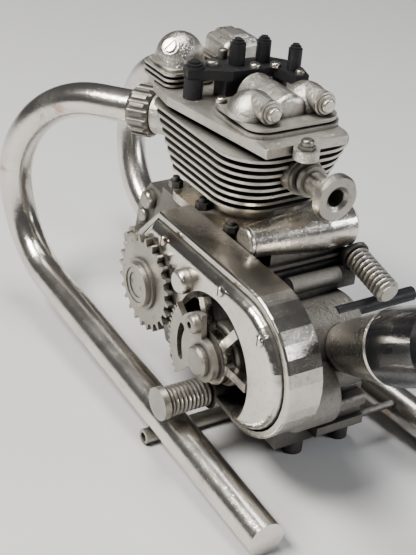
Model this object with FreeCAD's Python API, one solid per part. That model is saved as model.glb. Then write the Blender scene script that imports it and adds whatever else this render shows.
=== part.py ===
import FreeCAD, Part
import math
import os

os.makedirs("parts", exist_ok=True)
V = FreeCAD.Vector

# Miniature vintage motorcycle engine with twin exhaust pipes, millimetres.
# +X is the right-hand side, +Y is forward, +Z is up.  The origin is on the standing plane,
# on the centre plane, straight below the crankshaft.

# ---------------------------------------------------------------- driving dimensions
FIT = 0.05                # radial clearance of a running fit
GAP = 0.15                # clearance between neighbouring bodies

HEAD_Z = 40.0             # underside of the head plate
PIPE_R = 2.4              # exhaust pipe outer radius
PIPE_END_Y = -34.0        # square-cut rear ends
LEFT_PORT = V(-7.2, 17.6, HEAD_Z - 5.1)
LEFT_LOOP = [V(-19.2, 36.7, HEAD_Z - 6.6), V(-17.4, 32.5, 8.2)]
LEFT_END = V(-16.6, PIPE_END_Y, PIPE_R)
LEFT_BENDS = [14.7, 11.2]
RIGHT_PORT = V(7.0, 17.6, HEAD_Z - 5.0)
RIGHT_LOOP = [V(9.9, 50.9, HEAD_Z - 11.6), V(7.0, 43.5, 6.0)]
RIGHT_END = V(16.0, PIPE_END_Y, PIPE_R)
RIGHT_BENDS = [11.3, 14.3]

NUT_R = 3.6               # ribbed exhaust nut over its ribs
NUT_LENGTH = 3.6
NUT_RIBS = 18
NUT_GROOVE_R = 0.38
PORT_R = 2.9              # exhaust port boss of the head
PORT_LENGTH = 8.0

CRANK_Z = 18.6            # crankshaft axis, at Y = 0
CRANKCASE_R = 12.6
CRANKCASE_HALF = 7.4      # half width of the crankcase
DECK_Z = 26.6             # top of the crankcase deck
DECK_FRONT = 9.6
DECK_REAR = -8.6
DECK_THICK = 3.0

BARREL_Y = 0.2            # cylinder axis
NECK_R = 5.7
FLANGE_H = 1.2
FIN_COUNT = 8
FIN_PITCH = 1.18
FIN_THICK = 0.38
FIN_FIRST_Z = 30.4
FIN_HALF_X = 9.3          # half width of the top fin
FIN_HALF_Y = 11.5
FIN_STEP_X = 0.23         # each fin down is smaller by this much
FIN_STEP_Y = 0.42
FIN_CORNER_FRONT = 2.4
FIN_CORNER_REAR = 5.6
CYLINDER_BORE_R = 4.3

HEAD_H = 1.2
HEAD_FRONT = 14.6
HEAD_REAR = -12.2
HEAD_HALF_FRONT = 9.4
HEAD_HALF_REAR = 6.6
HEAD_BEVEL = 3.0

COVER_H = 0.5             # flange of the rear rocker cover
DOME_R = 3.2              # rear rocker domes
DOME_X = 4.0
DOME_Y = -4.6
CAP_R = 1.5               # round rocker caps
FRONT_DOME_R = 3.15
FRONT_LEFT = V(-4.7, 11.9, 0)   # centres of the two front rocker boxes
FRONT_RIGHT = V(3.6, 12.0, 0)
FRONT_BOX_HALF = 3.2

PLATE_Z = HEAD_Z + 5.2            # top of the black bracket plate
PLATE_T = 1.3

INTAKE_Z = HEAD_Z - 3.7
INTAKE_R = 1.65
INTAKE_BORE_R = 1.15
INTAKE_FLANGE_R = 3.0
INTAKE_END_Y = -18.3

CASE_BACK = -8.2          # primary chaincase, inner side
CASE_LIP = -13.0          # edge of its rim
CASE_TOP = 28.2
CASE_WALL = 0.9
CLUTCH = V(0, -15.3, 16.0)  # clutch axis, in Y and Z
CASE_REAR = V(0, -20.3, 18.4)
CASE_REAR_R = 9.8
CASE_FRONT_R = 7.4
COVER_FACE = -14.2        # outer face of the cover
COVER_BACK = -12.4
WINDOW_R = 6.9

SPROCKET_TEETH = 24
SPROCKET_TIP_R = 6.5
SPROCKET_ROOT_R = 5.6
SPROCKET_T = 0.8
SPROCKET_X = -15.3        # outer face of the toothed disc
SHAFT_R = 1.5

STUD_R = 2.15             # left threaded stud
STUD_PITCH = 0.58
STUD_AT = V(0, -13.4, 9.5)
STUD_END = -20.1
STUD_THREAD_START = -13.2
STUD_THREAD_R = 1.95
STUD_LUG_R = 2.45
STUD_LAND = 0.9           # plain end of the stud

JOINT_Z = 32.35           # joint between barrel and head, between two fins
BARREL_FINS = 2           # fins below the joint
FIN_DEPTH = 3.0
FLANGE_HALF = 8.0         # half side of the barrel's foot
BASE_NUT_INSET = 1.1
HEAD_TOP = HEAD_Z + HEAD_H
LUG_AT = V(-1.9, -13.6, 0) # rear lug of the head
LUG_R = 1.6
SEAT_Z = HEAD_Z + 3.6             # seat of the front rocker covers
RIDGE_TOP = HEAD_Z + 6.6
DOME_MID_Z = HEAD_Z + 4.3
PLUG_AXIS = V(-0.70, -0.40, 0.59)
NUT_BACK = 3.0            # how far the nut reaches back from the pipe's end
COVER_HALF_X = 6.9
COVER_HALF_Y = 5.5
COVER_Y = -4.3
CAP_Y = -8.3              # rear faces of the round bosses
CAP_UP = 1.6
ARCH_R = 2.7
ARCH_FRONT = 0.9
ARCH_REAR = -7.4
PILLAR_UP = 2.5
TALL_PILLARS = [(-0.7, 4.5, 1.05), (3.1, 4.2, 0.95), (5.3, 0.3, 0.9)]
UNDER_PILLARS = [(-6.5, 5.2, 1.25), (5.3, 3.0, 1.0)]
PLATE_BUTTONS = [(-4.0, 5.0, 0.85, 0.8), (-1.3, 6.9, 0.6, 1.3), (5.1, -1.4, 0.6, 0.6)]
PLATE_SCREWS = [(0.9, 2.6), (3.6, 1.9)]
INTAKE_SEAT_Y = -11.4

MAG_START = V(-7.3, -11.3, 28.7)
MAG_AXIS = V(1, -0.055, 0.01)
MAG_LENGTH = 14.9
MAG_TAPER = 10.4
MAG_R0 = 2.0
MAG_R1 = 3.0
PLATFORM_Z = 24.3
PLATFORM_T = 0.45
PLATFORM_REAR = -13.8

GEARBOX_Y = -17.4
GEARBOX_Z = 15.4
GEARBOX_R = 6.4
GEARBOX_RIGHT = 4.2
BAR_Y = -15.2
BAR_Z = 23.4
BAR_R = 1.15
SHIFT_Y = -19.4
SHIFT_Z = 20.6
SHIFT_R = 1.0
REAR_CASE_Y = -22.6
REAR_CASE_Z = 12.8
REAR_CASE_R = 4.6
BELL_START = V(0.6, -21.4, 17.0)
BELL_AXIS = V(0, -0.853, 0.522)
BELL_LENGTH = 12.4
BELL_R0 = 2.7
BELL_R1 = 4.5
SLEEVE_R = 3.7            # spigot of the sleeve inside the bell
SLEEVE_OUTER = 4.75
SLEEVE_IN = 3.0
SLEEVE_OUT = 9.0
SLEEVE_BORE = 2.6

CORNER_Y = 0.9            # square top corner of the chaincase
COVER_EDGE = 1.35
COVER_SEAM = 0.3          # open groove between the rim and the cover
COVER_FIXINGS = [(-2.6, 26.0), (-16.2, 26.0), (-25.0, 24.2)]
DOME_BOLT = V(0, -8.6, 23.4)
DOME_BOLT_R = 1.6
COLLAR_R = 3.4
SPROCKET_CAP_R = 2.4
SPIDER_BACK = -12.9
SPIDER_R = 3.5            # ring in the middle of the window
SPOKE_W = 1.2
SPOKES = (127, 180, 62)   # directions of the spokes, degrees from +Y
NECK_BORE_R = 2.7         # bore of the spider, on the clutch neck
DRUM_R = 4.1              # clutch drum behind the spider
DRUM_FRONT = -12.6
DRUM_BACK = -9.6
CLUTCH_TAIL = -3.0        # inner end of the clutch spindle's bore
QUADRANT_X = -15.5        # outer face of the toothed quadrant
QUADRANT_T = 0.8
QUADRANT_R = 8.0
QUADRANT_TEETH = 60
QUADRANT_UP = 84          # arc of the quadrant, degrees from +Y
QUADRANT_TEETH_UP = 36
QUADRANT_DOWN = -44
QUADRANT_BOLT_AT = 71
QUADRANT_BOLT_REACH = 4.7
HUB_R = 2.0
HUB_FACE = -16.4

STUD_SHANK_R = 1.4
RIGHT_STUD = V(7.2, -14.9, 25.2)
RIGHT_STUD_AXIS = V(0, -0.976, -0.218)
RIGHT_STUD_LENGTH = 7.4
RIGHT_STUD_R = 1.65
SHIFT_END = 13.6
LUG_OUT = 7.0             # outer face of the front lugs
FRONT_LUG_Y = 15.0
FRONT_LUG_Z = 16.6
CRADLE_Z = 2.2
CRADLE_LEFT = -6.0
CRADLE_RIGHT = 7.0
CRADLE_REAR = -20.0
FOOT_R = 1.4
FEET = [(0.0, 0.0), (-2.0, -18.4), (5.4, -18.4), (-4.4, 6.8), (5.0, 6.8)]
BRACE_END = 12.2
CROSS_LEFT = -19.2
CROSS_RIGHT = 4.0
CROSS_Y = -9.0
CROSS_R = 1.05
CROSS_BORE_R = 0.62


# ---------------------------------------------------------------- helpers
def save(name, shape):
    """Write one node; it has to be valid closed solids."""
    solids = shape.Solids
    if not solids or not shape.isValid():
        raise RuntimeError("bad shape: " + name)
    out = solids[0] if len(solids) == 1 else Part.makeCompound(solids)
    out.exportStep("parts/" + name + ".step")
    print(name, len(solids), round(out.Volume, 2))


def box(x0, x1, y0, y1, z0, z1):
    return Part.makeBox(x1 - x0, y1 - y0, z1 - z0, V(x0, y0, z0))


def rod(start, end, radius):
    axis = end - start
    return Part.makeCylinder(radius, axis.Length, start, axis)


def cone(start, end, r_start, r_end):
    axis = end - start
    return Part.makeCone(r_start, r_end, axis.Length, start, axis)


def rod_x(x0, x1, y, z, radius):
    return rod(V(x0, y, z), V(x1, y, z), radius)


def rod_y(y0, y1, x, z, radius):
    return rod(V(x, y0, z), V(x, y1, z), radius)


def rod_z(z0, z1, x, y, radius):
    return rod(V(x, y, z0), V(x, y, z1), radius)


def join(shapes):
    first = shapes[0]
    if len(shapes) > 1:
        first = first.multiFuse(shapes[1:])
    return first.removeSplitter()


def round_edges(shape, radius, pick):
    """Fillet the edges that pick() accepts."""
    edges = [e for e in shape.Edges if pick(e)]
    return shape.makeFillet(radius, edges)


def revolve(profile, origin, axis):
    """Turn a closed (radius, height) outline about an axis through origin."""
    axis = V(axis)
    axis.normalize()
    side = axis.cross(V(0.31, 0.57, 0.76))
    side.normalize()
    points = [origin + side * r + axis * h for r, h in profile]
    face = Part.Face(Part.makePolygon(points + [points[0]]))
    return face.revolve(origin, axis, 360)


def outline_x(points, x0, x1):
    """Extrude a closed (y, z) polygon from x0 to x1."""
    wire = Part.makePolygon([V(x0, y, z) for y, z in points + [points[0]]])
    return Part.Face(wire).extrude(V(x1 - x0, 0, 0))


def outline_z(points, z0, z1):
    """Extrude a closed (x, y) polygon from z0 to z1."""
    wire = Part.makePolygon([V(x, y, z0) for x, y in points + [points[0]]])
    return Part.Face(wire).extrude(V(0, 0, z1 - z0))


def hexagon(center, axis, across, height):
    """Hexagonal prism on an axis."""
    axis = V(axis)
    axis.normalize()
    side = axis.cross(V(0.2, 0.3, 0.93))
    side.normalize()
    other = axis.cross(side)
    corner = across / math.sqrt(3)
    points = []
    for k in range(6):
        a = math.pi / 3 * k
        points.append(center + side * (corner * math.cos(a)) + other * (corner * math.sin(a)))
    return Part.Face(Part.makePolygon(points + [points[0]])).extrude(axis * height)


def dome(center, axis, radius, height):
    """Button head: a short cylinder with a rounded top."""
    body = rod(center, center + V(axis) * height, radius)
    top = center + V(axis) * height
    return round_edges(body, 0.45 * min(radius, height),
                       lambda e: abs((e.CenterOfMass - top).Length) < 1e-6)


# ---------------------------------------------------------------- bent pipe
def bent_path(points, bends):
    """Straight runs joined by tangent arcs."""
    edges = []
    start = points[0]
    for corner, after, radius, before in zip(points[1:], points[2:], bends, points):
        back = before - corner
        ahead = after - corner
        back.normalize()
        ahead.normalize()
        half = back.getAngle(ahead) / 2
        reach = radius / math.tan(half)
        middle = back + ahead
        middle.normalize()
        centre = corner + middle * (radius / math.sin(half))
        enter = corner + back * reach
        leave = corner + ahead * reach
        edges.append(Part.LineSegment(start, enter).toShape())
        edges.append(Part.Arc(enter, centre - middle * radius, leave).toShape())
        start = leave
    edges.append(Part.LineSegment(start, points[-1]).toShape())
    return Part.Wire(edges)


def swept(points, bends, radius):
    path = bent_path(points, bends)
    along = points[1] - points[0]
    ring = Part.Wire([Part.makeCircle(radius, points[0], along)])
    return path.makePipeShell([ring], True, False)


def exhaust_pipe(port, loop, end, bends):
    points = [port] + loop + [end]
    pipe = swept(points, bends, PIPE_R)
    return pipe.common(box(-60, 60, PIPE_END_Y, 80, -20, 80))


def port_axis(port, loop):
    axis = loop[0] - port
    axis.normalize()
    return axis


def exhaust_nut(port, loop):
    """Ribbed union nut that holds the pipe in the head."""
    axis = port_axis(port, loop)
    start = port - axis * NUT_BACK
    bore = PIPE_R + FIT
    body = revolve([(bore, 0), (NUT_R - 0.5, 0), (NUT_R, 0.6), (NUT_R, NUT_LENGTH - 0.9),
                    (NUT_R - 0.8, NUT_LENGTH), (bore, NUT_LENGTH)], start, axis)
    side = axis.cross(V(0, 0, 1))
    side.normalize()
    other = axis.cross(side)
    grooves = []
    for k in range(NUT_RIBS):
        a = 2 * math.pi * k / NUT_RIBS
        at = start + side * (NUT_R * math.cos(a)) + other * (NUT_R * math.sin(a))
        grooves.append(rod(at - axis, at + axis * (NUT_LENGTH + 1), NUT_GROOVE_R))
    return body.cut(Part.makeCompound(grooves))


# ---------------------------------------------------------------- crankcase and gearbox
def crankcase_half(side):
    """side is -1 for the left half and +1 for the right half."""
    x0, x1 = sorted((side * GAP / 3, side * CRANKCASE_HALF))
    drum = rod_x(x0, x1, 0, CRANK_Z, CRANKCASE_R)
    drum = round_edges(drum, 1.0, lambda e: abs(e.CenterOfMass.x - side * CRANKCASE_HALF) < 0.01)
    deck = box(x0, x1, DECK_REAR, DECK_FRONT, DECK_Z - DECK_THICK, DECK_Z)
    top = box(x0, x1, -30, 30, DECK_Z, 60)
    case = join([drum, deck]).cut(top)
    lug = outline_x([(7.0, 24.8), (13.6, 25.4), (16.2, 22.0), (17.2, 17.0), (15.0, 13.6), (9.0, 12.0)],
                    side * (LUG_OUT - 3.0), side * LUG_OUT)
    case = join([case, lug])
    well = rod_z(DECK_Z - 4.0, DECK_Z + 1, 0, BARREL_Y, CYLINDER_BORE_R + GAP)
    bearing = rod_x(x0 - 1, x1 + 1, 0, CRANK_Z, SHAFT_R + FIT)
    return case.cut(well).cut(bearing)


def gearbox():
    """Rounded shell behind the crankcase, with the bar and seats cast on its top."""
    shell = join([
        rod_x(-CRANKCASE_HALF, GEARBOX_RIGHT, GEARBOX_Y, GEARBOX_Z, GEARBOX_R),
        box(-CRANKCASE_HALF, GEARBOX_RIGHT, GEARBOX_Y, -9.0, 9.0, GEARBOX_Z + 5.0),
        box(-5.2, GEARBOX_RIGHT, PLATFORM_REAR + 0.4, -9.8, 18.0, PLATFORM_Z),
        box(-2.8, 3.9, BAR_Y - 0.8, BAR_Y + 0.8, GEARBOX_Z, BAR_Z),
        rod_x(-3.3, GEARBOX_RIGHT, BAR_Y, BAR_Z, BAR_R),
    ])
    rim = rod_x(-CRANKCASE_HALF - 1, CRANKCASE_HALF + 1, 0, CRANK_Z, CRANKCASE_R + GAP / 2)
    deck = box(-20, 20, DECK_REAR - GAP / 2, 20, DECK_Z - DECK_THICK - GAP, 40)
    shell = shell.cut(rim).cut(deck)
    spindle = rod_x(-20, CLUTCH_TAIL, CLUTCH.y, CLUTCH.z, SHAFT_R + FIT)
    shaft = rod_x(GEARBOX_RIGHT - 3.0, 30, SHIFT_Y, SHIFT_Z, SHIFT_R)
    return shell.cut(spindle).cut(shaft).cut(bell_envelope(GAP / 2))


def rear_case():
    """Lower end of the gearbox, behind the chaincase."""
    body = rod_x(CASE_BACK + 0.2, -2.4, REAR_CASE_Y, REAR_CASE_Z, REAR_CASE_R)
    body = round_edges(body, 0.8, lambda e: e.CenterOfMass.x < CASE_BACK + 1)
    gear = rod_x(-20, 20, GEARBOX_Y, GEARBOX_Z, GEARBOX_R)
    square = box(-20, 20, GEARBOX_Y, 0, 0, 40)
    return body.cut(gear).cut(square).cut(bell_envelope(GAP / 2))


def bell_envelope(grow):
    """Solid outline of the funnel, used to clear its seat."""
    mouth = BELL_LENGTH
    return revolve([(0, -grow), (BELL_R0 + grow, -grow), (BELL_R0 + 0.5 + grow, 2.2),
                    (BELL_R1 + 0.15 + grow, mouth - 1.0), (0, mouth - 1.0)], BELL_START, BELL_AXIS)


def bell():
    """Funnel-shaped housing that rises to the rear and holds the rubber sleeve."""
    mouth = BELL_LENGTH
    return revolve([(0, 0), (BELL_R0, 0), (BELL_R0 + 0.5, 2.2), (BELL_R1, mouth - 1.4),
                    (BELL_R1 + 0.15, mouth - 0.6), (BELL_R1 - 0.1, mouth), (SLEEVE_R, mouth),
                    (SLEEVE_R, mouth - SLEEVE_IN), (0, mouth - SLEEVE_IN)], BELL_START, BELL_AXIS)


def sleeve():
    """Black rubber sleeve in the bell's mouth."""
    inside = BELL_LENGTH - SLEEVE_IN
    end = BELL_LENGTH + SLEEVE_OUT
    butt = BELL_LENGTH + FIT
    return revolve([(0, inside), (SLEEVE_R - FIT, inside), (SLEEVE_R - FIT, butt), (SLEEVE_OUTER, butt),
                    (SLEEVE_OUTER, end - 0.8), (SLEEVE_OUTER - 0.8, end), (SLEEVE_BORE, end),
                    (SLEEVE_BORE, end - 3.0), (0, end - 3.0)], BELL_START, BELL_AXIS)


# ---------------------------------------------------------------- barrel and head
def rounded_plate(half_x, half_y, corner, y_mid, z0, height):
    """Rounded rectangle with its middle at (0, y_mid)."""
    plate = box(-half_x, half_x, y_mid - half_y, y_mid + half_y, z0, z0 + height)
    return round_edges(plate, corner, lambda e: e.BoundBox.ZLength > height * 0.9)


def fin(k):
    """One fin: nearly square in front, well rounded behind."""
    down = FIN_COUNT - 1 - k
    z = FIN_FIRST_Z + FIN_PITCH * k
    half_x = FIN_HALF_X - FIN_STEP_X * down
    half_y = FIN_HALF_Y - FIN_STEP_Y * down
    plate = box(-half_x, half_x, BARREL_Y - half_y, BARREL_Y + half_y, z, z + FIN_THICK)
    upright = FIN_THICK * 0.9
    plate = round_edges(plate, FIN_CORNER_FRONT,
                        lambda e: e.BoundBox.ZLength > upright and e.CenterOfMass.y > BARREL_Y)
    return round_edges(plate, FIN_CORNER_REAR,
                       lambda e: e.BoundBox.ZLength > upright and e.CenterOfMass.y < BARREL_Y
                       and abs(e.CenterOfMass.x) > half_x - 0.1)


def fin_core(z0, z1):
    return rounded_plate(FIN_HALF_X - FIN_DEPTH, FIN_HALF_Y - FIN_DEPTH - 1.6, FIN_CORNER_FRONT,
                         BARREL_Y, z0, z1 - z0)


def barrel():
    parts = [
        rod_z(DECK_Z, FIN_FIRST_Z, 0, BARREL_Y, NECK_R),
        rounded_plate(FLANGE_HALF, FLANGE_HALF, 3.2, BARREL_Y, DECK_Z, FLANGE_H),
        fin_core(FIN_FIRST_Z, JOINT_Z),
    ]
    parts += [fin(k) for k in range(BARREL_FINS)]
    return join(parts).cut(rod_z(DECK_Z - 1, HEAD_Z, 0, BARREL_Y, CYLINDER_BORE_R))


def base_nuts():
    """Studs and nuts round the foot of the barrel, one at each corner and mid-side."""
    solids = []
    top = DECK_Z + FLANGE_H
    reach = FLANGE_HALF - BASE_NUT_INSET
    for sx, sy in ((-1, -1), (-1, 0), (-1, 1), (1, -1), (1, 0), (1, 1)):
        x = sx * reach
        y = BARREL_Y + sy * reach
        nut = hexagon(V(x, y, top), V(0, 0, 1), 1.7, 0.9)
        stud = rod_z(top + 0.9, top + 1.5, x, y, 0.5)
        solids.append(nut.fuse(stud).removeSplitter())
    return Part.makeCompound(solids)


def port_boss(port, loop, radius):
    axis = port_axis(port, loop)
    return rod(port - axis * PORT_LENGTH, port, radius)


def front_box(center):
    """Finned seat of one front rocker cover."""
    half = FRONT_BOX_HALF
    parts = [rounded_plate(half, half, 1.2, 0, HEAD_Z + 0.3, SEAT_Z - HEAD_Z - 0.3)]
    for k in range(3):
        parts.append(rounded_plate(half + 0.5, half + 0.5, 1.4, 0, HEAD_TOP + 0.25 + 0.72 * k, 0.3))
    return join(parts).translated(center)


def cylinder_head():
    rear = HEAD_REAR
    front = HEAD_FRONT
    left = FRONT_LEFT.x - FRONT_BOX_HALF
    plate = outline_z([
        (-HEAD_HALF_REAR, rear), (HEAD_HALF_REAR - 1.2, rear), (HEAD_HALF_FRONT, front - 8.0),
        (HEAD_HALF_FRONT - 0.8, front - HEAD_BEVEL), (-left - HEAD_BEVEL / 2, front),
        (left + HEAD_BEVEL / 2, front), (0.8 - HEAD_HALF_FRONT, front - HEAD_BEVEL),
        (-HEAD_HALF_FRONT, front - 8.0)], HEAD_Z, HEAD_TOP)
    lug = rod_z(HEAD_Z, HEAD_TOP, LUG_AT.x, LUG_AT.y, LUG_R)
    parts = [plate, lug, fin_core(JOINT_Z, HEAD_Z)]
    parts += [fin(k) for k in range(BARREL_FINS, FIN_COUNT)]
    parts += [front_box(FRONT_LEFT), front_box(FRONT_RIGHT)]
    parts += [port_boss(LEFT_PORT, LEFT_LOOP, PORT_R), port_boss(RIGHT_PORT, RIGHT_LOOP, PORT_R)]
    parts.append(rod_y(INTAKE_SEAT_Y, 0, 0, INTAKE_Z, INTAKE_R + 0.9))
    head = join(parts)
    cuts = [rod_z(JOINT_Z - 1, JOINT_Z + 2.2, 0, BARREL_Y, CYLINDER_BORE_R),
            rod_y(INTAKE_SEAT_Y - 1, -4.5, 0, INTAKE_Z, INTAKE_BORE_R)]
    for port, loop in ((LEFT_PORT, LEFT_LOOP), (RIGHT_PORT, RIGHT_LOOP)):
        axis = port_axis(port, loop)
        cuts.append(rod(port - axis * NUT_BACK - axis * FIT, port + axis * 2, NUT_R + GAP))
    return head.cut(Part.makeCompound(cuts))


def left_front_cover():
    """Round domed rocker cover with a short neck."""
    at = V(FRONT_LEFT.x, FRONT_LEFT.y, DOME_MID_Z)
    ball = Part.makeSphere(FRONT_DOME_R, at)
    neck = cone(V(at.x, at.y, SEAT_Z), V(at.x, at.y, DOME_MID_Z + 0.9), FRONT_DOME_R + 0.3, FRONT_DOME_R - 0.2)
    boss = rod(at, at + PLUG_AXIS * (FRONT_DOME_R + 0.1), 1.15)
    body = join([ball, neck, boss])
    return body.cut(box(-30, 30, -30, 30, 0, SEAT_Z))


def right_front_cover():
    """Boxy rocker cover with rounded edges and a low ridge along its top."""
    x, y = FRONT_RIGHT.x, FRONT_RIGHT.y
    half = FRONT_BOX_HALF - 0.2
    body = box(x - half, x + half, y - half, y + half, SEAT_Z, RIDGE_TOP - 0.5)
    body = round_edges(body, 1.2, lambda e: e.BoundBox.ZLength > 1)
    body = round_edges(body, 1.1, lambda e: e.CenterOfMass.z > RIDGE_TOP - 0.51)
    ridge = box(x - 1.5, x + 1.1, y - half + 1.0, y + half - 0.7, RIDGE_TOP - 1.4, RIDGE_TOP)
    ridge = round_edges(ridge, 0.5, lambda e: e.CenterOfMass.z > RIDGE_TOP - 0.01)
    return body.fuse(ridge).removeSplitter()


def front_plug():
    """Round slotted plug in the domed front cover."""
    at = V(FRONT_LEFT.x, FRONT_LEFT.y, DOME_MID_Z) + PLUG_AXIS * (FRONT_DOME_R + 0.1)
    plug = rod(at, at + PLUG_AXIS * 0.4, 0.8)
    slot = box(-1.5, 1.5, -0.12, 0.12, -0.15, 1)
    slot.Placement = FreeCAD.Placement(at + PLUG_AXIS * 0.4, FreeCAD.Rotation(V(0, 0, 1), PLUG_AXIS))
    return plug.cut(slot)


def rear_cover_flange():
    """Double flange under the rear rocker cover."""
    lower = rounded_plate(COVER_HALF_X, COVER_HALF_Y, 2.6, COVER_Y, HEAD_TOP, COVER_H)
    upper = rounded_plate(COVER_HALF_X - 0.3, COVER_HALF_Y - 0.3, 2.4, COVER_Y,
                          HEAD_TOP + COVER_H + 0.3, COVER_H)
    neck = rounded_plate(COVER_HALF_X - 0.8, COVER_HALF_Y - 0.8, 2.0, COVER_Y, HEAD_TOP, 1.0)
    return join([lower, upper, neck])


def rear_rocker_cover():
    """Two domes with a raised arch between them and a round boss behind each dome."""
    base = HEAD_TOP + 2 * COVER_H + 0.3
    parts = []
    for side in (-1, 1):
        x = side * DOME_X
        ball = Part.makeSphere(DOME_R, V(x, DOME_Y, base - 0.2))
        foot = rod_z(base, base + 0.6, x, DOME_Y, DOME_R)
        parts += [ball, foot]
        parts.append(rod_y(CAP_Y, DOME_Y, x, base + CAP_UP, CAP_R))
    arch = rod_y(ARCH_REAR, ARCH_FRONT, 0, base, ARCH_R)
    arch = round_edges(arch, 1.0, lambda e: e.CenterOfMass.y < ARCH_REAR + 1)
    parts.append(arch)
    body = join(parts)
    under = box(-30, 30, -30, 30, 0, base)
    return body.cut(under)


def rear_caps():
    """Large cap bolts on the bosses of the rear cover, pointing backwards."""
    base = HEAD_TOP + 2 * COVER_H + 0.3
    solids = []
    for side in (-1, 1):
        at = V(side * DOME_X, CAP_Y, base + CAP_UP)
        collar = rod(at, at - V(0, 0.4, 0), CAP_R + 0.05)
        ring = rod(at, at - V(0, 0.75, 0), CAP_R - 0.3)
        cap = dome(at - V(0, 0.75, 0), V(0, -1, 0), CAP_R - 0.6, 0.6)
        solids.append(join([collar, ring, cap]))
    return Part.makeCompound(solids)


def screw(center, axis, radius, height):
    """Cheese-head screw with a slot."""
    axis = V(axis)
    axis.normalize()
    body = dome(center, axis, radius, height)
    slot = box(-radius * 1.5, radius * 1.5, -radius * 0.15, radius * 0.15, -radius * 0.2, radius)
    slot.Placement = FreeCAD.Placement(center + axis * height, FreeCAD.Rotation(V(0, 0, 1), axis))
    return body.cut(slot)


def cover_screws():
    base = HEAD_TOP + 2 * COVER_H + 0.3
    y = COVER_Y + COVER_HALF_Y - 1.3
    return Part.makeCompound([screw(V(x, y, base), V(0, 0, 1), 0.75, 0.7)
                              for x in (1.3 - COVER_HALF_X, COVER_HALF_X - 1.3)])


def head_nut():
    """Domed stud nut on the rear lug of the head."""
    nut = hexagon(V(LUG_AT.x, LUG_AT.y, HEAD_TOP), V(0, 0, 1), 1.9, 0.5)
    cap = dome(V(LUG_AT.x, LUG_AT.y, HEAD_TOP + 0.5), V(0, 0, 1), 0.8, 0.8)
    return nut.fuse(cap).removeSplitter()


# ---------------------------------------------------------------- black head-steady bracket
def bracket_plate():
    flat = outline_z([(-7.7, 4.7), (-5.2, 3.6), (-2.6, 2.2), (3.4, 1.8), (4.2, -1.9), (6.0, -2.2),
                      (6.8, 0.4), (6.4, 3.6), (4.6, 5.6), (0.4, 6.0), (-0.2, 7.6), (-2.2, 7.6),
                      (-3.2, 6.4), (-7.2, 6.6)], PLATE_Z - PLATE_T, PLATE_Z)
    web = box(-3.4, 3.2, 2.4, 5.2, HEAD_TOP, PLATE_Z - PLATE_T)
    return flat.fuse(web).removeSplitter().cut(front_clearance()).cut(rear_rocker_cover())


def front_clearance():
    """Space kept free round the front rocker boxes."""
    grow = FRONT_BOX_HALF + 0.5 + GAP
    spaces = [rounded_plate(grow, grow, 1.2, 0, HEAD_TOP, 10).translated(c) for c in (FRONT_LEFT, FRONT_RIGHT)]
    return Part.makeCompound(spaces)


def under_pillars():
    """The two pillars between the head and the ends of the plate."""
    solids = []
    for x, y, radius in UNDER_PILLARS:
        solids.append(rod_z(HEAD_TOP, PLATE_Z - PLATE_T, x, y, radius))
    return Part.makeCompound(solids)


def tall_pillars():
    """The three tall pillars on the plate."""
    return Part.makeCompound([rod_z(PLATE_Z, PLATE_Z + PILLAR_UP, x, y, r) for x, y, r in TALL_PILLARS])


def stepped_nut(x, y, z, radius):
    return join([rod_z(z, z + 0.28, x, y, radius), rod_z(z + 0.28, z + 0.62, x, y, radius * 0.78),
                 rod_z(z + 0.62, z + 0.9, x, y, radius * 0.5)])


def bracket_washers():
    """Stepped washers and nuts that end the pillars."""
    solids = [stepped_nut(x, y, PLATE_Z + PILLAR_UP, r) for x, y, r in TALL_PILLARS]
    x, y, radius = UNDER_PILLARS[0]
    solids.append(stepped_nut(x, y, PLATE_Z, radius))
    return Part.makeCompound(solids)


def bracket_nuts():
    """Small button heads on the plate."""
    return Part.makeCompound([dome(V(x, y, PLATE_Z), V(0, 0, 1), r, h) for x, y, r, h in PLATE_BUTTONS])


def plate_screws():
    """Two bright screws along the rear edge of the plate."""
    return Part.makeCompound([screw(V(x, y, PLATE_Z), V(0, 0, 1), 0.7, 0.6) for x, y in PLATE_SCREWS])


# ---------------------------------------------------------------- intake and magneto
def intake_stub():
    start = V(0, INTAKE_SEAT_Y, INTAKE_Z)
    length = INTAKE_SEAT_Y - INTAKE_END_Y
    r = INTAKE_R
    return revolve([(INTAKE_BORE_R, 0), (r + 0.7, 0), (r + 0.7, 0.6), (r, 0.6), (r, 1.3),
                    (r + 0.4, 1.3), (r + 0.4, 1.9), (r - 0.2, 1.9), (r - 0.2, length - 1.4),
                    (INTAKE_BORE_R, length - 1.4)], start, V(0, -1, 0))


def intake_flange():
    start = V(0, INTAKE_END_Y + 1.4, INTAKE_Z)
    r = INTAKE_FLANGE_R
    return revolve([(INTAKE_BORE_R, 0), (r - 0.4, 0), (r, 0.35), (r, 1.0), (r - 0.25, 1.4),
                    (INTAKE_BORE_R + 0.5, 1.4), (INTAKE_BORE_R, 1.0)], start, V(0, -1, 0))


def magneto():
    """Magneto body: a round housing that grows towards the right."""
    return revolve([(0, 0), (MAG_R0, 0), (MAG_R1, MAG_TAPER), (MAG_R1, MAG_LENGTH - 0.7),
                    (MAG_R1 - 0.7, MAG_LENGTH), (0, MAG_LENGTH)], MAG_START, MAG_AXIS)


def magneto_envelope(grow):
    """Solid outline of the magneto, used to clear its neighbours."""
    return revolve([(0, -1), (MAG_R0 - 0.1 + grow, -1), (MAG_R0 + grow, 0), (MAG_R1 + grow, MAG_TAPER),
                    (MAG_R1 + grow, 20), (0, 20)], MAG_START, MAG_AXIS)


def magneto_cap():
    axis = V(MAG_AXIS)
    axis.normalize()
    end = MAG_START - axis * 0.7
    return round_edges(rod(MAG_START, end, MAG_R0 - 0.1), 0.3,
                       lambda e: (e.CenterOfMass - end).Length < 0.01)


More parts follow.
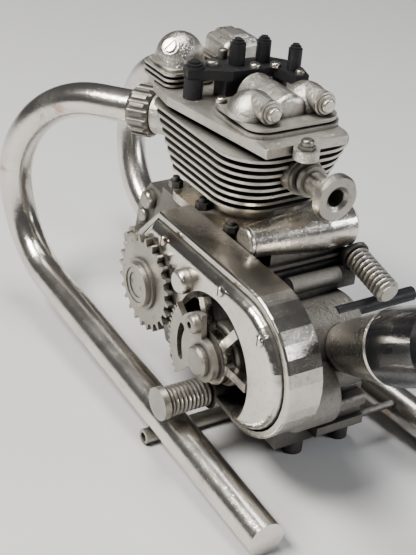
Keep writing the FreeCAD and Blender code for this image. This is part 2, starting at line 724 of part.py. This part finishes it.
def magneto_platform():
    """Two thin platform plates with a packing strip between them, and a saddle on top."""
    step = PLATFORM_T * 2
    half = 6.9
    parts = [box(-half, half, PLATFORM_REAR, -8.9, PLATFORM_Z, PLATFORM_Z + PLATFORM_T),
             box(0.4 - half, half - 0.4, PLATFORM_REAR + 0.5, -9.0, PLATFORM_Z, PLATFORM_Z + step),
             box(-half, half, PLATFORM_REAR, -8.9, PLATFORM_Z + step, PLATFORM_Z + step + PLATFORM_T),
             box(-5.0, 6.0, MAG_START.y - 1.9, MAG_START.y + 0.9, PLATFORM_Z + step, MAG_START.z)]
    rim = rod_x(-20, 20, 0, CRANK_Z, CRANKCASE_R + GAP / 2)
    above = box(-20, 20, -40, 20, MAG_START.z, 60)
    return join(parts).cut(rim).cut(magneto_envelope(FIT)).cut(above)


# ---------------------------------------------------------------- primary chaincase
def case_outline(grow):
    """(y, z) outline of the chaincase: crank end, sloping floor, round clutch end, flat top."""
    points = [(CORNER_Y, CASE_TOP + grow)]
    r = CASE_FRONT_R + grow
    for k in range(9):
        a = math.radians(38 - 78 * k / 8)
        points.append((r * math.cos(a), CRANK_Z + r * math.sin(a)))
    points += [(-4.0, 12.6 - grow), (-12.5, 9.6 - grow)]
    r = CASE_REAR_R + grow
    for k in range(19):
        a = math.radians(-90 - 180 * k / 18)
        points.append((CASE_REAR.y + r * math.cos(a), CASE_REAR.z + r * math.sin(a)))
    return points


def chaincase():
    """Inner half of the chaincase: back wall, broad rim, and pillars for the cover."""
    shell = outline_x(case_outline(0), CASE_BACK, CASE_LIP)
    shell = round_edges(shell, 0.35, lambda e: abs(e.CenterOfMass.x - CASE_LIP) < 0.01)
    hollow = outline_x(case_outline(-CASE_WALL), CASE_BACK - CASE_WALL, CASE_LIP - 1)
    shell = shell.cut(hollow)
    pillars = [rod_x(CASE_BACK - 0.5, COVER_BACK, y, z, 1.0) for y, z in COVER_FIXINGS]
    seats = [rod_x(CASE_BACK, FIT - CRANKCASE_HALF - 0.1, 0, CRANK_Z, 4.2),
             rod_x(CASE_BACK, FIT - CRANKCASE_HALF - 0.1, CLUTCH.y, CLUTCH.z, 3.6)]
    lug = rod_x(CASE_LIP, CASE_BACK, STUD_AT.y, STUD_AT.z, STUD_LUG_R)
    shell = join([shell, lug] + pillars + seats)
    drum_space = rod_x(DRUM_FRONT - 0.1 - GAP, DRUM_BACK + FIT, CLUTCH.y, CLUTCH.z, DRUM_R + GAP)
    shell = shell.cut(drum_space)
    shell = shell.cut(rod_x(-30, 0, STUD_AT.y, STUD_AT.z, STUD_SHANK_R + FIT))
    for y, z, r in ((0, CRANK_Z, SHAFT_R + FIT), (CLUTCH.y, CLUTCH.z, SHAFT_R + FIT)):
        shell = shell.cut(rod_x(CASE_BACK - 2, CASE_BACK + 2, y, z, r))
    return shell


def chaincase_cover():
    """Outer cover: domed edge, cut away low at the front, with a spoked window over the clutch."""
    x0, x1 = COVER_FACE - 1, COVER_BACK + 1
    plate = outline_x(case_outline(-CASE_WALL - COVER_SEAM), COVER_BACK, COVER_FACE)
    plate = round_edges(plate, COVER_EDGE, lambda e: abs(e.CenterOfMass.x - COVER_FACE) < 0.01)
    window = rod_x(x0, x1, CLUTCH.y, CLUTCH.z, WINDOW_R)
    bevel = cone(V(COVER_FACE - 0.01, CLUTCH.y, CLUTCH.z), V(COVER_BACK, CLUTCH.y, CLUTCH.z),
                 WINDOW_R + 1.5, WINDOW_R)
    low = outline_x([(12, 14.0), (-4.5, 14.0), (-7.0, 18.2), (-9.6, 21.4), (-13.2, 18.0),
                     (-14.6, 14.0), (-15.4, 2), (12, 2)], x0, x1)
    shaft = rod_x(x0, x1, 0, CRANK_Z, SHAFT_R + GAP)
    plate = plate.cut(window).cut(bevel).cut(low).cut(shaft)
    spider = [rod_x(SPIDER_BACK, COVER_FACE, CLUTCH.y, CLUTCH.z, SPIDER_R)]
    for degrees in SPOKES:
        spoke = box(COVER_FACE + 0.3, SPIDER_BACK, CLUTCH.y + 1, CLUTCH.y + WINDOW_R + 0.6,
                    CLUTCH.z - SPOKE_W / 2, CLUTCH.z + SPOKE_W / 2)
        spoke.rotate(V(0, CLUTCH.y, CLUTCH.z), V(1, 0, 0), degrees)
        spider.append(spoke)
    neck = rod_x(x0, x1, CLUTCH.y, CLUTCH.z, NECK_BORE_R)
    return join([plate] + spider).cut(neck)


def chaincase_screws():
    return Part.makeCompound([screw(V(COVER_FACE, y, z), V(-1, 0, 0), 0.7, 0.35)
                              for y, z in COVER_FIXINGS])


def cover_dome_bolt():
    return dome(V(COVER_FACE, DOME_BOLT.y, DOME_BOLT.z), V(-1, 0, 0), DOME_BOLT_R, 1.5)


# ---------------------------------------------------------------- turning parts
def crank_spindle():
    return rod_x(SPROCKET_X, CRANKCASE_HALF - 1.5, 0, CRANK_Z, SHAFT_R)


def toothed_ring(center, x_out, thick, teeth, tip_r, root_r, bore):
    """Disc with pointed teeth."""
    points = []
    for k in range(teeth):
        a = 2 * math.pi * k / teeth
        step = 2 * math.pi / teeth
        for frac, r in ((-0.28, root_r), (-0.09, tip_r), (0.09, tip_r), (0.28, root_r)):
            b = a + frac * step
            points.append((center.y + r * math.cos(b), center.z + r * math.sin(b)))
    disc = outline_x(points, x_out, x_out + thick)
    return disc.cut(rod_x(x_out - 1, x_out + thick + 1, center.y, center.z, bore))


def crank_sprocket():
    return toothed_ring(V(0, 0, CRANK_Z), SPROCKET_X, SPROCKET_T, SPROCKET_TEETH,
                        SPROCKET_TIP_R, SPROCKET_ROOT_R, SHAFT_R)


def sprocket_collar():
    """Stepped collar that clamps the sprocket."""
    return revolve([(0, 0), (COLLAR_R, 0), (COLLAR_R, 0.45), (COLLAR_R - 0.5, 0.45),
                    (COLLAR_R - 0.5, 1.2), (SPROCKET_CAP_R, 1.2), (SPROCKET_CAP_R, 0.7), (0, 0.7)],
                   V(SPROCKET_X, 0, CRANK_Z), V(-1, 0, 0))


def sprocket_cap():
    at = V(SPROCKET_X - 0.7, 0, CRANK_Z)
    cap = rod(at, at - V(0.35, 0, 0), SPROCKET_CAP_R)
    for side in (-1, 1):
        cap = cap.cut(rod_x(SPROCKET_X - 3, SPROCKET_X - 0.85, side * 1.1, CRANK_Z, 0.3))
    return cap.cut(rod_x(SPROCKET_X - 3, SPROCKET_X - 0.9, 0, CRANK_Z, SPROCKET_CAP_R - 0.65))


def clutch_spindle():
    return rod_x(DRUM_BACK, CLUTCH_TAIL - 0.3, CLUTCH.y, CLUTCH.z, SHAFT_R)


def clutch_drum():
    """Plain drum behind the spider."""
    drum = rod_x(DRUM_FRONT - 0.1, DRUM_BACK, CLUTCH.y, CLUTCH.z, DRUM_R)
    return round_edges(drum, 0.4, lambda e: e.CenterOfMass.x < DRUM_FRONT)


def clutch_hub():
    """Neck that turns in the spider, and the plain boss that carries the quadrant."""
    start = V(DRUM_FRONT - 0.1, CLUTCH.y, CLUTCH.z)
    neck = start.x - (QUADRANT_X + QUADRANT_T) - FIT
    face = start.x - HUB_FACE
    return revolve([(0, 0), (NECK_BORE_R - FIT, 0), (NECK_BORE_R - FIT, neck), (HUB_R, neck),
                    (HUB_R, face - 0.3), (HUB_R - 0.3, face), (0, face)], start, V(-1, 0, 0))


def arc_outline(center, reach, first, last):
    """Sector polygon from one angle to another, in degrees from +Y."""
    points = [(center.y, center.z)]
    for k in range(9):
        a = math.radians(first + (last - first) * k / 8)
        points.append((center.y + reach * math.cos(a), center.z + reach * math.sin(a)))
    return points


def quadrant():
    """Toothed quadrant that swings on the clutch boss, with a curved slot and a bolt arm."""
    x0, x1 = QUADRANT_X, QUADRANT_X + QUADRANT_T
    disc = toothed_ring(CLUTCH, x0, QUADRANT_T, QUADRANT_TEETH, QUADRANT_R, QUADRANT_R - 0.5, HUB_R + FIT)
    sector = outline_x(arc_outline(CLUTCH, 14, QUADRANT_DOWN, QUADRANT_TEETH_UP), x0 - 1, x1 + 1)
    eye = rod_x(x0, x1, CLUTCH.y, CLUTCH.z, HUB_R + 0.85).cut(rod_x(x0 - 1, x1 + 1, CLUTCH.y, CLUTCH.z,
                                                                  HUB_R + FIT))
    arm = outline_x(arc_outline(CLUTCH, QUADRANT_BOLT_REACH + 1.3, QUADRANT_TEETH_UP - 8, QUADRANT_UP),
                    x0, x1).cut(rod_x(x0 - 1, x1 + 1, CLUTCH.y, CLUTCH.z, HUB_R + 0.4))
    body = join([disc.common(sector), eye, arm])
    slot = []
    for k in range(9):
        a = math.radians(22 - 46 * k / 8)
        slot.append(rod_x(x0 - 1, x1 + 1, CLUTCH.y + 5.2 * math.cos(a), CLUTCH.z + 5.2 * math.sin(a), 0.6))
    return body.cut(join(slot))


def quadrant_bolt():
    """Socket-head bolt on the quadrant's arm."""
    a = math.radians(QUADRANT_BOLT_AT)
    at = V(QUADRANT_X, CLUTCH.y + QUADRANT_BOLT_REACH * math.cos(a),
           CLUTCH.z + QUADRANT_BOLT_REACH * math.sin(a))
    bolt = dome(at, V(-1, 0, 0), 1.2, 1.1)
    return bolt.cut(rod(at - V(0.5, 0, 0), at - V(3, 0, 0), 0.45))


# ---------------------------------------------------------------- threaded studs
def ridged(start, axis, length, radius, pitch, depth):
    """Parallel ridges along a rod."""
    profile = [(0, 0)]
    count = int(length / pitch)
    for k in range(count):
        h = k * pitch
        profile += [(radius - depth, h), (radius, h + pitch * 0.35), (radius, h + pitch * 0.6)]
    profile += [(radius - depth, count * pitch), (radius - depth, length), (0, length)]
    return revolve(profile, start, axis)


def left_stud():
    """Threaded stud below the chaincase, with a plain shank in the case's lug."""
    start = V(STUD_THREAD_START, STUD_AT.y, STUD_AT.z)
    threaded = STUD_THREAD_START - STUD_END - STUD_LAND
    thread = ridged(start, V(-1, 0, 0), threaded, STUD_THREAD_R, STUD_PITCH, 0.32)
    land = rod_x(STUD_END, STUD_END + STUD_LAND, STUD_AT.y, STUD_AT.z, STUD_R)
    shank = rod_x(STUD_THREAD_START, CASE_BACK - 1.0, STUD_AT.y, STUD_AT.z, STUD_SHANK_R)
    return join([thread, land, shank])


def right_stud():
    """Ribbed stud that leans back from its boss at the right rear corner."""
    return ridged(RIGHT_STUD, RIGHT_STUD_AXIS, RIGHT_STUD_LENGTH, RIGHT_STUD_R,
                  RIGHT_STUD_LENGTH / 10.2, 0.4)


def right_stud_boss():
    """Cast arm from the gearbox that carries the ribbed stud."""
    arm = box(GEARBOX_RIGHT + 0.1, RIGHT_STUD.x + 0.6, RIGHT_STUD.y + 0.2, RIGHT_STUD.y + 1.8,
              RIGHT_STUD.z - 4.4, PLATFORM_Z - GAP)
    shelf = box(-20, 20, PLATFORM_REAR - GAP, 0, PLATFORM_Z - GAP / 2, 40)
    axis = V(RIGHT_STUD_AXIS)
    axis.normalize()
    knob = rod(RIGHT_STUD - axis * 0.9, RIGHT_STUD, RIGHT_STUD_R + 0.3)
    behind = rod(RIGHT_STUD, RIGHT_STUD + axis * 20, RIGHT_STUD_R + 0.4)
    return arm.fuse(knob.cut(shelf)).cut(behind).cut(magneto_envelope(GAP)).removeSplitter()


# ---------------------------------------------------------------- bolts and bars
def shift_shaft():
    """Black shaft that leaves the gearbox to the right."""
    return rod_x(GEARBOX_RIGHT - 2.9, SHIFT_END, SHIFT_Y, SHIFT_Z, SHIFT_R - FIT)


def front_bolts():
    """Bolts on the outer faces of the front lugs."""
    solids = []
    for side in (-1, 1):
        x = side * LUG_OUT
        out = V(side, 0, 0)
        low = hexagon(V(x, FRONT_LUG_Y, FRONT_LUG_Z), out, 2.6, 1.6)
        solids.append(low.fuse(rod(V(x, FRONT_LUG_Y, FRONT_LUG_Z), V(x + side * 2.6, FRONT_LUG_Y, FRONT_LUG_Z),
                                   0.8)).removeSplitter())
        solids.append(dome(V(x, 13.0, 23.2), out, 1.35, 1.3))
        solids.append(dome(V(x, 14.6, 20.0), out, 1.0, 0.7))
    return Part.makeCompound(solids)


def gearbox_bolts():
    """Bolts on the right-hand end of the gearbox."""
    solids = []
    for y, z in ((-16.0, 19.2), (-20.4, 12.6), (-13.6, 12.4)):
        solids.append(dome(V(GEARBOX_RIGHT, y, z), V(1, 0, 0), 0.85, 0.9))
    return Part.makeCompound(solids)


# ---------------------------------------------------------------- standing parts
def cradle():
    """Sump block under the crankcase, with four feet."""
    block = outline_x([(CRADLE_REAR, CRADLE_Z), (8.4, CRADLE_Z), (9.6, 4.6), (9.6, 11.5), (-9.0, 11.5),
                       (-13.0, 11.5), (CRADLE_REAR, 10.6)], CRADLE_LEFT, CRADLE_RIGHT)
    block = block.cut(rod_x(-20, 20, 0, CRANK_Z, CRANKCASE_R + GAP / 2))
    block = block.cut(rod_x(-20, 20, GEARBOX_Y, GEARBOX_Z, GEARBOX_R + GAP / 2))
    block = block.cut(rod_x(-20, 20, REAR_CASE_Y, REAR_CASE_Z, REAR_CASE_R + GAP / 2))
    block = block.cut(box(-20, 20, GEARBOX_Y, 0, 9.0 - GAP / 2, 30))
    feet = [rod_z(0, CRADLE_Z + 0.5, x, y, FOOT_R) for x, y in FEET]
    return join([block] + feet)


def rear_foot():
    """Grooved cross member bolted behind the cradle."""
    bar = box(-1.0, 6.4, CRADLE_REAR - 1.9, CRADLE_REAR - GAP / 2, 3.6, 8.4)
    bar = round_edges(bar, 0.5, lambda e: e.BoundBox.XLength > 5 and e.CenterOfMass.y < CRADLE_REAR - 1)
    groove = box(-2.0, 8.0, CRADLE_REAR - 3.0, CRADLE_REAR - 1.1, 5.2, 6.9)
    return bar.cut(groove)


def rear_brace():
    """Thin rod between the rear foot and the right exhaust pipe."""
    brace = rod_x(6.4 + 0.05, BRACE_END, CRADLE_REAR - 0.8, 4.4, 0.5)
    return brace.cut(swept([RIGHT_PORT] + RIGHT_LOOP + [RIGHT_END], RIGHT_BENDS, PIPE_R + FIT))


def cross_tube():
    """Open tube on the floor under the left exhaust pipe and the cradle."""
    tube = rod_x(CROSS_LEFT, CROSS_RIGHT, CROSS_Y, CROSS_R + 0.02, CROSS_R)
    return tube.cut(rod_x(CROSS_LEFT - 1, CROSS_RIGHT + 1, CROSS_Y, CROSS_R + 0.02, CROSS_BORE_R))


save("left_exhaust_pipe", exhaust_pipe(LEFT_PORT, LEFT_LOOP, LEFT_END, LEFT_BENDS))
save("right_exhaust_pipe", exhaust_pipe(RIGHT_PORT, RIGHT_LOOP, RIGHT_END, RIGHT_BENDS))
save("left_exhaust_nut", exhaust_nut(LEFT_PORT, LEFT_LOOP))
save("right_exhaust_nut", exhaust_nut(RIGHT_PORT, RIGHT_LOOP))
save("crankcase_left_half", crankcase_half(-1))
save("crankcase_right_half", crankcase_half(1))
save("gearbox_shell", gearbox())
save("gearbox_rear_case", rear_case())
save("rear_bell", bell())
save("rubber_sleeve", sleeve())
save("cylinder_barrel", barrel())
save("barrel_base_nuts", base_nuts())
save("cylinder_head", cylinder_head())
save("left_front_rocker_cover", left_front_cover())
save("right_front_rocker_cover", right_front_cover())
save("front_cover_plug", front_plug())
save("rear_cover_flange", rear_cover_flange())
save("rear_rocker_cover", rear_rocker_cover())
save("rear_cap_bolts", rear_caps())
save("rear_cover_screws", cover_screws())
save("head_stud_nut", head_nut())
save("bracket_plate", bracket_plate())
save("bracket_under_pillars", under_pillars())
save("bracket_tall_pillars", tall_pillars())
save("bracket_washers", bracket_washers())
save("bracket_nuts", bracket_nuts())
save("bracket_screws", plate_screws())
save("intake_stub", intake_stub())
save("intake_flange", intake_flange())
save("magneto_body", magneto())
save("magneto_end_cap", magneto_cap())
save("magneto_platform", magneto_platform())
save("chaincase_inner", chaincase())
save("chaincase_cover", chaincase_cover())
save("chaincase_screws", chaincase_screws())
save("chaincase_dome_bolt", cover_dome_bolt())
save("crank_spindle", crank_spindle())
save("crank_sprocket", crank_sprocket())
save("sprocket_collar", sprocket_collar())
save("sprocket_cap", sprocket_cap())
save("clutch_spindle", clutch_spindle())
save("clutch_drum", clutch_drum())
save("clutch_hub", clutch_hub())
save("toothed_quadrant", quadrant())
save("quadrant_bolt", quadrant_bolt())
save("left_threaded_stud", left_stud())
save("right_threaded_stud", right_stud())
save("right_stud_boss", right_stud_boss())
save("shift_shaft", shift_shaft())
save("front_bolts", front_bolts())
save("gearbox_bolts", gearbox_bolts())
save("cradle", cradle())
save("rear_foot", rear_foot())
save("rear_brace", rear_brace())
save("cross_tube", cross_tube())
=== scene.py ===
import bpy
from mathutils import Matrix, Vector

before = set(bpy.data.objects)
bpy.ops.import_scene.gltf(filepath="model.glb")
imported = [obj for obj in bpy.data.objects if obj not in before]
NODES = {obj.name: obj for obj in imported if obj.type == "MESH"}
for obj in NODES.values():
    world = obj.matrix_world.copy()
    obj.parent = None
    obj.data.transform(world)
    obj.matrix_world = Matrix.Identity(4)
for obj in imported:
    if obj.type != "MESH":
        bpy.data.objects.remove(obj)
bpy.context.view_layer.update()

# Sockets of the colour version of the mix node.
MIX_A, MIX_B, MIX_OUT = 6, 7, 2

BRASS = (0.62, 0.47, 0.24, 1.0)       # warm tint where the plating is thin
COPPER = (0.42, 0.22, 0.13, 1.0)      # base metal where the plating has gone
CAMERA_PLACE = (-0.085833, -0.120, 0.100821)


# ---------------------------------------------------------------- node helpers
class Mat:
    """A material with short helpers for building its node tree."""

    def __init__(self, name):
        self.mat = bpy.data.materials.new(name)
        self.mat.use_nodes = True
        self.tree = self.mat.node_tree
        self.bsdf = self.tree.nodes["Principled BSDF"]
        self.coord = self.add("ShaderNodeTexCoord").outputs["Object"]

    def add(self, kind, **inputs):
        node = self.tree.nodes.new(kind)
        for key, value in inputs.items():
            self.put(node.inputs[key.replace("_", " ")], value)
        return node

    def put(self, socket, value):
        if isinstance(value, bpy.types.NodeSocket):
            self.tree.links.new(value, socket)
        else:
            socket.default_value = value

    def set(self, name, value):
        self.put(self.bsdf.inputs[name], value)

    def noise(self, scale, detail=4.0, rough=0.55, distortion=0.0, stretch=None):
        vector = self.coord
        if stretch:
            vector = self.add("ShaderNodeMapping", Vector=self.coord, Scale=stretch).outputs[0]
        return self.add("ShaderNodeTexNoise", Vector=vector, Scale=scale, Detail=detail,
                        Roughness=rough, Distortion=distortion).outputs["Fac"]

    def ramp(self, fac, low, high, a=0.0, b=1.0):
        node = self.add("ShaderNodeMapRange")
        node.inputs["From Min"].default_value = low
        node.inputs["From Max"].default_value = high
        node.inputs["To Min"].default_value = a
        node.inputs["To Max"].default_value = b
        self.put(node.inputs["Value"], fac)
        return node.outputs["Result"]

    def math(self, op, a, b=0.0):
        node = self.add("ShaderNodeMath")
        node.operation = op
        self.put(node.inputs[0], a)
        self.put(node.inputs[1], b)
        return node.outputs[0]

    def mix(self, fac, a, b):
        node = self.add("ShaderNodeMix")
        node.data_type = "RGBA"
        self.put(node.inputs["Factor"], fac)
        self.put(node.inputs[MIX_A], a)
        self.put(node.inputs[MIX_B], b)
        return node.outputs[MIX_OUT]

    def crease(self, distance, low, high):
        """Ambient-occlusion mask for painted shade: 0 in creases and recesses, 1 on open faces."""
        node = self.add("ShaderNodeAmbientOcclusion", Distance=distance)
        node.samples = 8
        return self.ramp(node.outputs["AO"], low, high)

    def bump(self, height, strength, distance):
        node = self.add("ShaderNodeBump", Height=height, Strength=strength, Distance=distance)
        self.set("Normal", node.outputs["Normal"])


def rgb(r, g, b):
    return (r, g, b, 1.0)


def metal(name, base, dark, shade_and_grime=0.6, rough=(0.16, 0.36), reach=0.0016, pits=0.25, warm=0.0,
          copper=0.0, grain=0.0):
    """Worn plating: painted shade in recesses and creases, fine stains, mottled roughness, warm patches
    and fine pitting.
    """
    m = Mat(name)
    broad = m.noise(160.0, 5.0, 0.6)
    fine = m.noise(1400.0, 6.0, 0.65)
    specks = m.noise(4200.0, 2.0, 0.5)
    colour = m.mix(m.ramp(broad, 0.35, 0.7), rgb(*base), rgb(*[c * 0.82 for c in base]))
    if warm:
        patch = m.ramp(m.noise(240.0, 5.0, 0.6, 0.4), 0.52, 0.72, 0.0, warm)
        colour = m.mix(patch, colour, BRASS)
    if copper:
        patch = m.ramp(m.noise(120.0, 6.0, 0.7, 0.6), 0.60, 0.68, 0.0, copper)
        colour = m.mix(patch, colour, COPPER)
    # Painted shade: an ambient-occlusion mask pulls the colour towards the dark tone in recesses and
    # creases. The fine noise on top adds real stains.
    recess = m.crease(reach, 0.35, 0.86)
    painted_shade = m.math("MULTIPLY", m.math("SUBTRACT", 1.0, recess), shade_and_grime)
    stain = m.math("MULTIPLY", m.ramp(fine, 0.54, 0.75), 0.25 * shade_and_grime)
    shade_and_stain = m.math("MINIMUM", m.math("ADD", painted_shade, stain), 1.0)
    colour = m.mix(shade_and_stain, colour, rgb(*dark))
    m.set("Base Color", colour)
    m.set("Metallic", m.ramp(shade_and_stain, 0.3, 1.0, 1.0, 0.35))
    polish = m.ramp(broad, 0.3, 0.7, rough[0], rough[1])
    m.set("Roughness", m.math("ADD", polish, m.math("MULTIPLY", shade_and_stain, 0.4)))
    height = m.math("ADD", m.math("MULTIPLY", broad, 0.8), m.math("MULTIPLY", fine, 0.35 + grain))
    height = m.math("ADD", height, m.math("MULTIPLY", m.ramp(specks, 0.62, 0.8), 0.2 + grain))
    m.bump(height, pits, 0.0003)
    return m.mat


def black_paint(name):
    m = Mat(name)
    wear = m.ramp(m.noise(700.0, 5.0, 0.6), 0.62, 0.78)
    m.set("Base Color", m.mix(wear, rgb(0.012, 0.012, 0.014), rgb(0.10, 0.10, 0.11)))
    m.set("Metallic", 0.35)
    m.set("Roughness", m.ramp(m.noise(900.0), 0.3, 0.7, 0.42, 0.62))
    m.bump(m.noise(1800.0, 5.0), 0.35, 0.0002)
    return m.mat


def rubber(name):
    m = Mat(name)
    m.set("Base Color", rgb(0.008, 0.008, 0.009))
    m.set("Roughness", m.ramp(m.noise(500.0), 0.3, 0.7, 0.16, 0.34))
    m.set("Coat Weight", 0.4)
    return m.mat


SILVER = (0.80, 0.755, 0.68)
PIPE = metal("pipe plating", (0.80, 0.76, 0.70), (0.07, 0.04, 0.025), shade_and_grime=0.45, rough=(0.14, 0.30),
             pits=0.22, copper=0.7)
BRIGHT = metal("bright plating", SILVER, (0.018, 0.015, 0.012), shade_and_grime=1.0, rough=(0.17, 0.34),
               reach=0.0022, pits=0.3, grain=0.1)
COVER = metal("cover plating", (0.80, 0.76, 0.69), (0.03, 0.02, 0.014), shade_and_grime=0.9, rough=(0.09, 0.28),
              pits=0.22, copper=0.6)
CASTING = metal("sand cast head", (0.70, 0.665, 0.60), (0.014, 0.012, 0.010), shade_and_grime=1.0, rough=(0.22, 0.42),
                reach=0.0022, pits=0.7, grain=0.4)
FINS = metal("fin plating", SILVER, (0.012, 0.010, 0.008), shade_and_grime=1.0, rough=(0.2, 0.38), reach=0.0022,
             pits=0.25, warm=0.85)
# The long reaches of the case, clutch and rough casting materials spread painted shade deep into the
# chaincase and crankcase hollows.
INSIDE = metal("case plating", (0.72, 0.68, 0.61), (0.008, 0.007, 0.006), shade_and_grime=1.0, rough=(0.1, 0.3),
               reach=0.008, pits=0.2)
DRUM = metal("clutch castings", (0.40, 0.375, 0.33), (0.008, 0.007, 0.006), shade_and_grime=1.0, rough=(0.25, 0.5),
             reach=0.006, pits=0.6, grain=0.3)
STEEL = metal("dull steel", (0.46, 0.435, 0.39), (0.012, 0.010, 0.009), shade_and_grime=1.0, rough=(0.26, 0.46),
              reach=0.0017, pits=0.45, warm=0.2, grain=0.2)
ROUGH = metal("rough casting", (0.30, 0.285, 0.26), (0.008, 0.007, 0.007), shade_and_grime=1.0, rough=(0.3, 0.55),
              reach=0.007, pits=0.9, grain=0.5)
NUT = metal("ribbed nut", (0.30, 0.28, 0.25), (0.006, 0.006, 0.006), shade_and_grime=1.0, rough=(0.3, 0.5),
            reach=0.0018, pits=0.4)
BLACK = black_paint("black bracket")
SLEEVE = rubber("black sleeve")

LOOKS = [
    (PIPE, "left_exhaust_pipe right_exhaust_pipe"),
    (NUT, "left_exhaust_nut right_exhaust_nut head_stud_nut bracket_nuts"),
    (COVER, "chaincase_cover chaincase_screws"),
    (INSIDE, "chaincase_inner"),
    (DRUM, "clutch_drum clutch_hub"),
    (CASTING, "cylinder_head left_front_rocker_cover right_front_rocker_cover rear_rocker_cover "
              "rear_cover_flange"),
    (FINS, "cylinder_barrel"),
    (ROUGH, "gearbox_shell gearbox_rear_case right_stud_boss rear_foot cradle crankcase_left_half "
            "crankcase_right_half magneto_platform barrel_base_nuts rear_brace gearbox_bolts"),
    (STEEL, "crank_sprocket sprocket_collar sprocket_cap crank_spindle clutch_spindle toothed_quadrant "
            "quadrant_bolt left_threaded_stud right_threaded_stud intake_stub intake_flange cross_tube "
            "front_bolts"),
    (BLACK, "bracket_plate bracket_under_pillars bracket_tall_pillars shift_shaft bracket_washers"),
    (SLEEVE, "rubber_sleeve"),
]
look_of = {node: material for material, names in LOOKS for node in names.split()}
for name, obj in NODES.items():
    obj.data.materials.clear()
    obj.data.materials.append(look_of.get(name, BRIGHT))


# ---------------------------------------------------------------- stage
def plain(name, colour, rough):
    mat = bpy.data.materials.new(name)
    mat.use_nodes = True
    bsdf = mat.node_tree.nodes["Principled BSDF"]
    bsdf.inputs["Base Color"].default_value = colour
    bsdf.inputs["Roughness"].default_value = rough
    return mat


bpy.ops.mesh.primitive_plane_add(size=3.0, location=(0, 0, 0))
floor = bpy.context.object
floor.name = "floor"
floor.data.materials.append(plain("floor paper", (0.62, 0.62, 0.62, 1), 0.7))


def area(name, place, target, size, power, colour=(1, 1, 1)):
    data = bpy.data.lights.new(name, "AREA")
    data.shape = "RECTANGLE"
    data.size, data.size_y = size
    data.energy = power
    data.color = colour
    light = bpy.data.objects.new(name, data)
    bpy.context.scene.collection.objects.link(light)
    light.location = place
    aim = Vector(target) - Vector(place)
    light.rotation_euler = aim.to_track_quat("-Z", "Y").to_euler()
    return light


area("key", (-0.20, 0.02, 0.30), (0, 0, 0.025), (0.14, 0.09), 2.0, (1.0, 0.97, 0.92))
area("fill", (0.20, -0.22, 0.16), (0, 0, 0.025), (0.12, 0.08), 0.45, (0.93, 0.96, 1.0))
area("top", (0.02, 0.06, 0.38), (0, 0, 0.03), (0.10, 0.18), 0.9)

world = bpy.data.worlds.new("studio")
bpy.context.scene.world = world
world.use_nodes = True
world.node_tree.nodes["Background"].inputs["Color"].default_value = (0.5, 0.5, 0.52, 1)
world.node_tree.nodes["Background"].inputs["Strength"].default_value = 0.16

# ---------------------------------------------------------------- camera
right = Vector((0.8512, -0.5193, 0.0754))
down = Vector((-0.2063, -0.4633, -0.8619))
ahead = Vector((0.4825, 0.7181, -0.5015))
data = bpy.data.cameras.new("camera")
data.lens = 80.43
data.sensor_width = 36.0
data.sensor_fit = "AUTO"
data.clip_start = 0.01
camera = bpy.data.objects.new("camera", data)
bpy.context.scene.collection.objects.link(camera)
turn = Matrix((right, -down, -ahead)).transposed()
camera.matrix_world = Matrix.Translation(CAMERA_PLACE) @ turn.to_4x4()
bpy.context.scene.camera = camera
